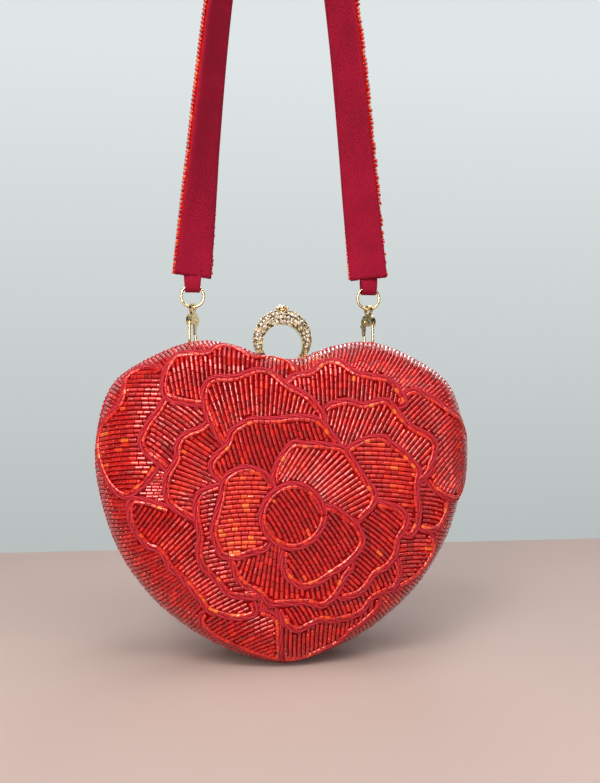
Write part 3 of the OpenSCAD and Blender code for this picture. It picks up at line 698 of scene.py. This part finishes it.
def line_beads(line, margin, index):
    """Flat ends of the beads that follow a line inside a petal's cord, where they show."""
    usual_step, edge_clear, others_clear = 2.8, 1.3, 0.9
    gone = np.concatenate([[0], np.cumsum(np.hypot(*np.diff(line, axis=0).T))])
    count = max(1, round((gone[-1] - 2 * margin) / usual_step))
    step = (gone[-1] - 2 * margin) / count
    kept = []
    for at in margin + step * np.arange(count):
        pair = [[np.interp(x, gone, line[:, c]) for c in (0, 1)]
            for x in (at, at + step - bead_gap)]
        mid = np.mean(pair, 0)[None]
        if (edge_distance(mid, petal_edges[index])[0] > edge_clear
                and under_others(mid, index)[0] < -others_clear):
            kept.append(pair)
    return np.array(kept)


def edge_trim(cords, group, index, points, seen, way, dice):
    """The cord on a petal's visible edge, and the line of beads inside it."""
    # The line of beads inside each cord gets a painted highlight: a brighter tone
    cord_seat, line_tuck, end_margin, painted_line_highlight = 0.6, 0.25, 0.8, 0.2
    height = petals[index][2] + cord_lift
    inward = inward_at(points, petal_edges[index])
    for places in stretches(seen):
        path = points[places]
        path[1:-1] = (path[:-2] + 2 * path[1:-1] + path[2:]) / 4
        lift = np.full(len(path), height - cover_sunk + cord_high * cord_seat)
        cord_along(cords, *on_skin(path, lift, way))
        line = path + inward[places] * (cord_wide + bead_r - line_tuck)
        margin = bead_gap if len(places) > len(points) else end_margin
        pairs = line_beads(line, margin, index)
        if len(pairs):
            lay_beads(group, pairs, height, way, dice, painted_line_highlight)


def row_beads(group, index, seen_points, way, dice):
    """The rows of beads that fill a petal, cut at its cord and at the petals above."""
    own = petal_edges[index]
    least_inside, line_lap = 0.4, 0.45
    painted_edge_light, painted_light_reach, shade, shade_reach = 0.12, 6, 0.3, 5
    cord_room = cord_wide + 2 * bead_r - line_lap
    mids, ways, lengths = (np.array(part) for part in zip(*row_places(index, dice)))
    keep = edge_distance(mids, own) > least_inside

    def allowed(spots):
        return ((edge_distance(spots, own) > 0) & (under_others(spots, index) < -petal_clear)
            & (gap_to(spots, seen_points) > cord_room))
    pairs, kept = trimmed(mids[keep], ways[keep], lengths[keep], allowed)
    mids = mids[keep][kept]
    # Painted light and shade: beads are painted brighter near the petal's own edge and darker
    # beside the petals above, where these cast shade
    painted_lighting = (petal_painted_warm_light.get(petals[index][0], 0)
        + painted_edge_light * np.exp(-gap_to(mids, seen_points) / painted_light_reach)
        - shade * np.exp(under_others(mids, index) / shade_reach))
    if len(mids):
        lay_beads(group, pairs, None, way, dice, painted_lighting)


def petal_trim(way, side_name, body, cord_finish, bead_finish):
    """All the cords and beads of a half: its petals', topmost first, and its side's."""
    dice = random.Random(7 if way < 0 else 11)
    cords = bmesh.new()
    cords.verts.layers.float.new("groove_shade")
    groups = {key: new_bead_bmesh() for key in ("heart", "middle", "outer", "side")}
    for index in range(len(petals)):
        key = "heart" if index < heart_petals else "middle" if index < middle_petals else "outer"
        points, seen = visible_edge(index)
        edge_trim(cords, groups[key], index, points, seen, way, dice)
        row_beads(groups[key], index, points[seen], way, dice)
    side_rows(groups["side"], cords, way, dice)
    for key, bm in groups.items():
        finish_piece(f"{side_name}_{key}_beads", bm, bead_finish, body, normals=False)
    finish_piece(f"{side_name}_petal_cords", cords, cord_finish, body)


def lay_beads(bm, pairs, height, way, dice, brighter):
    """Lays beads whose ends are given flat: without a height they follow the petals."""
    tone_mean, tone_spread = 0.42, 0.17
    flat = pairs.reshape(-1, 2)
    if height is None:
        lift = relief(flat, inner_distances(flat))
    else:
        lift = np.full(len(flat), height - cover_sunk)
    spots, outs = on_skin(flat, lift + bead_r * bead_seat, way)
    ends = spots.reshape(-1, 2, 3)
    out = outs.reshape(-1, 2, 3).mean(1)
    uneven = np.array([[dice.uniform(-bead_uneven, bead_uneven) for _ in pair]
        for pair in ends])
    ends = ends + out[:, None] * uneven[..., None] * mm
    brighter = np.broadcast_to(brighter, len(ends))
    tones = [min(1, max(0, dice.gauss(tone_mean, tone_spread) + more)) for more in brighter]
    add_beads(bm, ends, out, bead_r * mm, tones)


def side_rows(bm, cords, way, dice):
    """Rows square to the outline, from under the outer petals round to the rim."""
    start, rim_margin, least_room, side_tone = 40, 0.6, 1.2, -0.06
    bead_under, cord_under, cord_space = 0.5, 0.3, 0.15
    side_lift, cord_seat = 0.5, 0.5
    loop = np.vstack([half_outline, half_outline[:1]])
    gone = np.concatenate([[0], np.cumsum(np.hypot(*np.diff(loop, axis=0).T))])
    count = int(gone[-1] / bead_pitch)
    at = np.arange(count) * gone[-1] / count
    x, z = np.interp(at, gone, loop[:, 0]), np.interp(at, gone, loop[:, 1])
    turns = np.arctan2(z, x)
    mids, ways, lengths = [], [], []
    for turn in turns:
        run = start + dice.uniform(0, row_stagger)
        stop = float(run_to_rim(turn)) - rim_margin
        along = np.array([math.cos(turn), math.sin(turn)])
        while run < stop - least_room:
            length = min(dice.uniform(*side_bead_cut), stop - run)
            mids.append(along * (run + length / 2))
            ways.append(along)
            lengths.append(length)
            run += length + bead_gap
    mids, ways, lengths = np.array(mids), np.array(ways), np.array(lengths)
    keep = (inner_distances(mids) < bead_under).all(0)
    scallop = scallop_line()

    def allowed(spots):
        turn, run = np.arctan2(spots[:, 1], spots[:, 0]), np.hypot(spots[:, 0], spots[:, 1])
        line_run = np.interp(turn, scallop[:, 0], scallop[:, 1], period=2 * math.pi)
        clear = [clear_of_fittings(p * [1, way, 1], way) for p in skin_at(turn, run)]
        return ((inner_distances(spots) < -petal_clear).all(0) & np.array(clear)
            & (np.abs(run - line_run) > cord_wide + cord_space))
    pairs, kept = trimmed(mids[keep], ways[keep], lengths[keep], allowed)
    lay_beads(bm, pairs, None, way, dice, side_tone)
    points = flat_places(scallop[:, 0], scallop[:, 1])
    above = inner_distances(points)
    for places in stretches((above < cord_under).all(0)):
        path = points[places]
        lift = np.full(len(path), side_lift - cover_sunk + cord_high * cord_seat)
        cord_along(cords, *on_skin(path, lift, way))


def scallop_line():
    """The cord round the puffed face's edge, in shallow waves: directions and distances."""
    wave_high, wave_pairs, sway, inset = 1.1, 9, 0.6, 0.5
    turn = np.linspace(-math.pi, math.pi, 1000, endpoint=False)
    wave = wave_high * np.abs(np.sin(turn * wave_pairs + sway * np.sin(turn * 3)))
    return np.stack([turn, run_to_side(turn) - inset + wave], -1)


def unit_disc(rings, steps):
    """A disc as a bmesh, and the direction and the distance of each of its vertices."""
    bm = bmesh.new()
    line = [bm.verts.new((k / rings, 0, 0)) for k in range(rings + 1)]
    for a, b in zip(line, line[1:]):
        bm.edges.new((a, b))
    bmesh.ops.spin(bm, geom=bm.verts[:] + bm.edges[:], cent=(0, 0, 0), axis=(0, 0, 1),
        angle=2 * math.pi, steps=steps, use_merge=True)
    bmesh.ops.remove_doubles(bm, verts=bm.verts, dist=1e-6)
    places = np.array([v.co for v in bm.verts])
    return bm, np.arctan2(places[:, 1], places[:, 0]), np.hypot(places[:, 0], places[:, 1])


def cover_skin(name, way, body, node_name, material):
    """The beaded cover's cloth: a disc drawn over the puffed form, with the petals' relief."""
    cloth_thick, filled_share = 1.0, 0.9
    bm, turn, share = unit_disc(rings=96, steps=300)
    run = share * run_to_rim(turn)
    flat = flat_places(turn, run)
    spots, outs = on_skin(flat, relief(flat, inner_distances(flat)), way)
    own = skin_at(turn, run) * [1, way, 1]
    covered = [v for v, p in zip(bm.verts, own) if not clear_of_fittings(p, way)]
    for v, spot in zip(bm.verts, spots):
        v.co = spot
    bmesh.ops.delete(bm, geom=covered, context="VERTS")
    bmesh.ops.recalc_face_normals(bm, faces=bm.faces)
    bmesh.ops.solidify(bm, geom=bm.faces[:], thickness=cloth_thick * mm)
    made = finish_piece(name, bm, material, body)
    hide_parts(node_name)

# Materials

# Glass bugle beads, drawn tube cut to length, lined with red under a lustre coat: pure deep red
# with one thin white line of light along each tube
bugle_glass, tree, shader = new_material("red_lined_bugle_glass", {
    "Roughness": 0.14, "Specular IOR Level": 0.4, "Metallic": 0.25, "Coat Weight": 1.0,
    "Coat Roughness": 0.04})
# The tone holds random differences between beads together with painted light and shade: painted
# warm and edge highlights, and painted shade beside the petals above
tone = node(tree, "ShaderNodeAttribute", attribute_name="tone")
ramp = node(tree, "ShaderNodeValToRGB", [("Fac", tone.outputs["Fac"])])
ramp.color_ramp.elements[0].color = hex_colour("#8C0408")
ramp.color_ramp.elements[1].color = hex_colour("#EC6624")
for at, code in ((0.3, "#A8060A"), (0.55, "#C0080C"), (0.8, "#DA2610")):
    ramp.color_ramp.elements.new(at).color = hex_colour(code)
tree.links.new(ramp.outputs["Color"], shader.inputs["Base Color"])

# Cotton cord, four strands lightly twisted: matt, pinker than the glass, with painted shade
# darkening its grooves
twisted_cotton, tree, shader = new_material("twisted_cotton_cord", {
    "Roughness": 0.8, "Specular IOR Level": 0.2, "Sheen Weight": 0.12,
    "Sheen Tint": hex_colour("#F08A8A")})
fibre = two_tones(tree, grain(tree, 900.0, 3.0), "#AE1424", "#D43E50")
groove_shade = node(tree, "ShaderNodeAttribute", attribute_name="groove_shade")
shaded = node(tree, "ShaderNodeMix", [(0, groove_shade.outputs["Fac"]), (6, fibre),
    (7, hex_colour("#7A0810"))], data_type="RGBA")
tree.links.new(shaded.outputs[2], shader.inputs["Base Color"])

# Woven polyester ground that the beads are sewn to: dull, with threads of about 0.6 mm
ground_cloth, tree, shader = new_material("woven_polyester_ground", {
    "Roughness": 0.75, "Specular IOR Level": 0.1})
weave = grain(tree, 1600.0)
tree.links.new(two_tones(tree, weave, "#8A040A", "#B40A12"), shader.inputs["Base Color"])
raised(tree, shader, weave, strength=0.4, depth=0.0003)

# Cotton velvet, cut pile about 1 mm deep, brushed in soft patches: dark face on, a pale bloom
# at grazing angles
cut_velvet, tree, shader = new_material("cut_pile_cotton_velvet", {
    "Roughness": 0.95, "Specular IOR Level": 0.1, "Sheen Weight": 0.5,
    "Sheen Roughness": 0.35, "Sheen Tint": hex_colour("#E8506A")})
brushed = two_tones(tree, grain(tree, 60.0, 3.0), "#700E26", "#951430")
tree.links.new(brushed, shader.inputs["Base Color"])
raised(tree, shader, grain(tree, 2200.0), strength=0.5, depth=0.0004)

# Polyester satin, long floats: soft gloss, with painted sheen as lighter and darker streaks in its
# colour along the folds
satin, tree, shader = new_material("woven_polyester_satin", {
    "Roughness": 0.38, "Specular IOR Level": 0.5, "Sheen Weight": 0.2})
place = node(tree, "ShaderNodeTexCoord")
stretch = node(tree, "ShaderNodeMapping", [("Vector", place.outputs["Object"]),
    ("Scale", (3000.0, 3000.0, 300.0))])
satin_sheen_streaks = node(tree, "ShaderNodeTexNoise", [("Vector", stretch), ("Scale", 1.0)])
tree.links.new(two_tones(tree, satin_sheen_streaks, "#8E1020", "#B2202E"), shader.inputs["Base Color"])

# Die-cast zinc with a pale gold plate, polished: bright, with patches dulled by rubbing
gold_plate, tree, shader = new_material("polished_gold_plated_zinc", {
    "Metallic": 1.0, "Base Color": hex_colour("#EED8A4"), "Roughness": 0.25})
dull = node(tree, "ShaderNodeMapRange", [("Value", grain(tree, 700.0, 4.0)),
    ("From Min", 0.35), ("From Max", 0.65), ("To Min", 0.07), ("To Max", 0.38)])
tree.links.new(dull.outputs[0], shader.inputs["Roughness"])

# Cut glass crystals with a foil back: painted glints, each small facet coloured wholly bright or
# dark, champagne between
cut_crystal, tree, shader = new_material("foil_backed_cut_crystal", {
    "Roughness": 0.04, "IOR": 1.6, "Metallic": 0.25, "Coat Weight": 1.0,
    "Coat Roughness": 0.02})
place = node(tree, "ShaderNodeTexCoord")
facet_glint_cells = node(tree, "ShaderNodeTexVoronoi", [("Vector", place.outputs["Object"]),
    ("Scale", 1500.0)])
shade = node(tree, "ShaderNodeSeparateColor", [(0, facet_glint_cells.outputs["Color"])])
ramp = node(tree, "ShaderNodeValToRGB", [("Fac", shade.outputs[0])])
ramp.color_ramp.interpolation = "CONSTANT"
ramp.color_ramp.elements[0].color = hex_colour("#3E3428")
ramp.color_ramp.elements[1].color = hex_colour("#FFFFFF")
ramp.color_ramp.elements[1].position = 0.5
ramp.color_ramp.elements.new(0.24).color = hex_colour("#B9AC90")
tree.links.new(ramp.outputs["Color"], shader.inputs["Base Color"])

# Pressed board moulded with a thin plastic face: dull, faintly mottled
moulded_board, tree, shader = new_material("pressed_fibre_board", {"Roughness": 0.8})
pulp = two_tones(tree, grain(tree, 400.0), "#4A3A38", "#6A5450")
tree.links.new(pulp, shader.inputs["Base Color"])

# Spring steel wire, drawn: cool grey, finely dulled
drawn_steel, tree, shader = new_material("drawn_spring_steel", {
    "Metallic": 1.0, "Base Color": hex_colour("#B8BBC0"), "Roughness": 0.3})
dull = node(tree, "ShaderNodeMapRange", [("Value", grain(tree, 1500.0)), ("To Min", 0.22),
    ("To Max", 0.42)])
tree.links.new(dull.outputs[0], shader.inputs["Roughness"])

shown_as = {"ring_stones": cut_crystal, "ring_centre_stone": cut_crystal,
    "back_shell": moulded_board, "front_shell": moulded_board, "clasp_spring": drawn_steel,
    "hook_spring_left": drawn_steel, "hook_spring_right": drawn_steel}
for name, cad_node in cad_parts.items():
    cad_node.data.materials.clear()
    cad_node.data.materials.append(shown_as.get(name, gold_plate))

# The two halves

for side_name, way in (("front", -1), ("back", 1)):
    body = side_name + "_half"
    cover_skin(side_name + "_beaded_cover", way, body, side_name + "_cover", ground_cloth)
    petal_trim(way, side_name, body, twisted_cotton, bugle_glass)


def lining_skin(side_name, way):
    """The satin inside a half: glued over the shell, with soft creases drawn to the rim."""
    depth, rim_depth, rim_inset, satin_thick = 5.15, 5.2, 5.0, 0.4
    crease_high, creases, crease_from = 0.1, 41, 0.45
    bm, turn, share = unit_disc(rings=40, steps=240)
    run = share * (run_to_rim(turn) - rim_inset)
    wave = crease_high * np.sin(turn * creases + 2 * np.sin(turn * 7))
    crease = wave * smooth_step((share - crease_from) * 2)
    spots, outs = on_skin(flat_places(turn, run), -depth + crease, way)
    spots[:, 1] = way * np.maximum(spots[:, 1] * way, (rim_depth - hang_y * way) * mm)
    for v, spot in zip(bm.verts, spots):
        v.co = spot
    bmesh.ops.recalc_face_normals(bm, faces=bm.faces)
    bmesh.ops.solidify(bm, geom=bm.faces[:], thickness=satin_thick * mm)
    made = finish_piece(side_name + "_satin_lining", bm, satin, side_name + "_half")
    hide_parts(side_name + "_lining")


for side_name, way in (("front", -1), ("back", 1)):
    lining_skin(side_name, way)

# Strap

# The strap's right half from its end up to the arch: a curve's four points as shares of the
# lug's distance and of the rise, and by how many degrees the strap has turned flat at each share
strap_run_shares = [[1, 0], [0.776, 0.444], [0.647, 1], [0, 1]]
strap_turn = [8, 27, 40, 48, 54, 62, 70, 80, 90]
strap_turn_shares = [0, 0.1, 0.2, 0.35, 0.5, 0.62, 0.75, 0.88, 1]


def strap_middle(t):
    """The strap's middle line from its right end, t = 0, to the top of the arch, t = 1."""
    u = 1 - t
    s = np.array(strap_run_shares)
    p = u ** 3 * s[0] + 3 * u * u * t * s[1] + 3 * u * t * t * s[2] + t ** 3 * s[3]
    return p * [lug_x, strap_rise] + [0, strap_end_z]


def strap_frame(way, t):
    """Middle of the strap, its width's direction and the velvet's outward direction."""
    p = strap_middle(t)
    d = strap_middle(min(1, t + 0.001)) - strap_middle(max(0, t - 0.001))
    d = d / np.linalg.norm(d)
    b = math.radians(np.interp(t, strap_turn_shares, strap_turn))
    inward = np.array([-way * d[1], 0, d[0]])
    return (np.array([way * p[0], hang_y, p[1]]),
        math.cos(b) * inward + [0, math.sin(b), 0], math.sin(b) * inward - [0, math.cos(b), 0])


# Frames at even steps along the whole strap, from the left end over the arch to the right end
fine_share = np.linspace(0, 1, 801)
fine_run = np.array([strap_middle(t) for t in fine_share])
half_gone = np.concatenate([[0], np.cumsum(np.hypot(*np.diff(fine_run, axis=0).T))])
half_strap = half_gone[-1]


def strap_place(gone):
    """Frame at a distance along the strap from its left end."""
    way = -1 if gone <= half_strap else 1
    near = gone if way < 0 else 2 * half_strap - gone
    middle, wide, out = strap_frame(way, float(np.interp(near, half_gone, fine_share)))
    return middle, -wide * way, out


def strap_point(gone, across, lift):
    """A point across the strap and off its middle line, in metres."""
    middle, wide, out = strap_place(gone)
    return to_frame(middle + wide * across + out * lift)


def strap_layer(name, width, face, thick, edge_drop, material, replaced):
    """One cloth of the strap, its edges drawn in and its cut ends a little ragged."""
    steps, lanes, ragged = 260, 20, 0.6
    dice = random.Random(5)
    bm = bmesh.new()
    bmesh.ops.create_grid(bm, x_segments=steps, y_segments=lanes, size=1)
    for v in bm.verts:
        along, across = v.co.x, v.co.y
        if abs(along) > 0.999:
            along *= 1 + dice.uniform(-ragged, ragged) / half_strap
        gone = (along + 1) * half_strap
        v.co = strap_point(gone, across * width / 2, face - edge_drop * abs(across) ** 8)
    bmesh.ops.recalc_face_normals(bm, faces=bm.faces)
    bm.faces.ensure_lookup_table()
    first = bm.faces[0]
    out = strap_place(1)[2]
    if first.normal.dot(Vector(out)) < 0:
        bmesh.ops.reverse_faces(bm, faces=bm.faces)
    bmesh.ops.solidify(bm, geom=bm.faces[:], thickness=thick * mm)
    made = finish_piece(name, bm, material, "strap")
    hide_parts(replaced)
    return made


velvet_w, band_w = strap_w - 1.2, strap_w - 1.0
velvet = strap_layer("strap_velvet", velvet_w, face=1.75, thick=1.2, edge_drop=0.5,
    material=cut_velvet, replaced="strap_backing")
band = strap_layer("strap_band_cloth", band_w, face=0.2, thick=0.8, edge_drop=0.2,
    material=ground_cloth, replaced="strap_bead_band")


def strap_beads():
    """Rows of beads square across the strap's outer face, with a painted highlight along its
    edges.
    """
    overhang, least_room, face, lean_most = 0.5, 0.8, -1.25, 0.15
    tone_mean, tone_spread, painted_edge_highlight = 0.45, 0.2, 0.25
    bright_left, bright_right = -8, 6
    dice = random.Random(23)
    bm = new_bead_bmesh()
    rows = int(2 * half_strap / bead_pitch)
    ends, outs, tones = [], [], []
    for k in range(rows):
        gone = (k + 0.5) * bead_pitch
        at, stop = -strap_w / 2 - overhang, strap_w / 2 + overhang
        out = -strap_place(gone)[2]
        while at < stop - least_room:
            length = min(dice.uniform(*strap_bead_cut), stop - at)
            lean = dice.uniform(-lean_most, lean_most)
            ends.append((strap_point(gone + lean, at, face),
                strap_point(gone - lean, at + length, face)))
            outs.append(out)
            # Painted highlight: beads near the strap's edges get a brighter tone
            painted_lighting = painted_edge_highlight if at < bright_left or at > bright_right else 0
            tones.append(min(1, max(0, dice.gauss(tone_mean, tone_spread) + painted_lighting)))
            at += length + bead_gap
    add_beads(bm, ends, outs, bead_r * mm, tones)
    return finish_piece("strap_band_beads", bm, bugle_glass, "strap", normals=False)


strap_glass = strap_beads()


def strap_tab(side_name, way):
    """A narrow velvet strip folded under the ring's top wire, its ends inside the strap."""
    half_w, taper, thick, flat_w = 4.5, 0.1, 0.7, 0.0105
    # Half of the fold, as depths and heights, from its end in the strap to its lowest point
    half = [[-0.45, strap_end_z + 4], [-0.6, strap_end_z + 0.5], [-1.7, 194.4], [-2.1, 192],
        [-2.0, 190.4], [-1.35, 189.25], [0, 188.87]]
    path = smooth_curve(half + [[-y, z] for y, z in half[-2::-1]], 5, closed=False)
    bm = bmesh.new()
    n, lanes = len(path), 8
    bmesh.ops.create_grid(bm, x_segments=n - 1, y_segments=lanes, size=1)
    for v in bm.verts:
        y, z = path[round((v.co.x + 1) / 2 * (n - 1))]
        x = v.co.y * (half_w - taper * max(0, strap_end_z - z))
        v.co = to_frame([way * lug_x + x, hang_y + y * (1 - 0.06 * v.co.y ** 4), z])
    bmesh.ops.recalc_face_normals(bm, faces=bm.faces)
    bmesh.ops.solidify(bm, geom=bm.faces[:], thickness=thick * mm)
    made = finish_piece("strap_tab_velvet_" + side_name, bm, cut_velvet, "strap")
    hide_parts("strap_tab_" + side_name)


strap_tab("left", -1)
strap_tab("right", 1)
